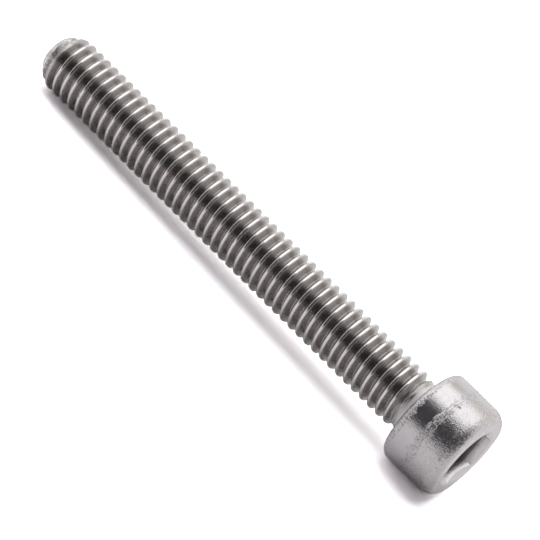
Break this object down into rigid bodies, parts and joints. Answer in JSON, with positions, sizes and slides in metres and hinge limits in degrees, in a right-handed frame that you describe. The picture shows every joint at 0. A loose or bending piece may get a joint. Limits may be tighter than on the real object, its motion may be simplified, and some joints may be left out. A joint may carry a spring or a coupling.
{
  "type": "hex socket cap screw",
  "caption": "Fully threaded cap screw with a plain cylindrical head, a rounded top edge and a hexagon socket.",
  "frame": {"origin": "centre of the flat top of the head, on which the screw stands", "axes": "+Z along the screw's axis, from the head towards the end of the thread"},
  "size_m": [0.0076, 0.0076, 0.043],
  "materials": {
    "stainless_steel": "bright rolled thread, satin and lightly pitted head"
  },
  "bodies": {
    "root": {"cap_screw": "stainless_steel"}
  },
  "joints": []
}
